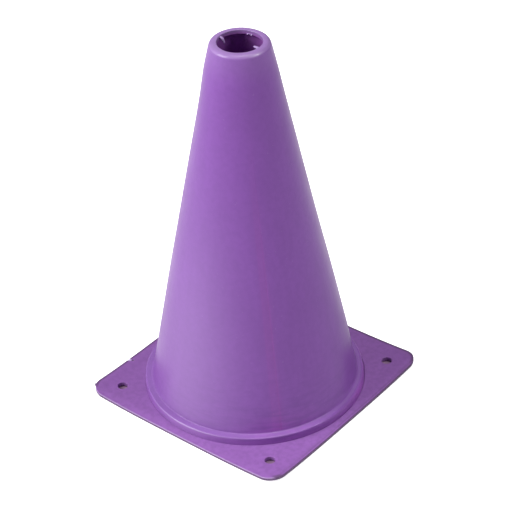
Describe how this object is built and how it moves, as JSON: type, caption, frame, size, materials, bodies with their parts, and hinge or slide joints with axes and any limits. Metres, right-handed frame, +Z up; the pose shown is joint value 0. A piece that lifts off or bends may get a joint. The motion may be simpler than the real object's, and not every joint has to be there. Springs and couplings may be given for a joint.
{
  "type": "sports marker cone",
  "caption": "Free-standing hollow marker cone on a thin square base plate, open at the mouth, for marking out a playing field or training course.",
  "frame": {"origin": "middle of the base plate's underside, on the ground", "axes": "+Z up the cone's axis to its mouth, +X and +Y along the base plate's sides"},
  "size_m": [0.14, 0.14, 0.2286],
  "materials": {
    "cone_shell": "satin purple polyethylene",
    "base_plate": "satin purple polyethylene"
  },
  "bodies": {
    "root": {"cone_shell": "cone_shell", "base_plate": "base_plate"}
  },
  "joints": []
}
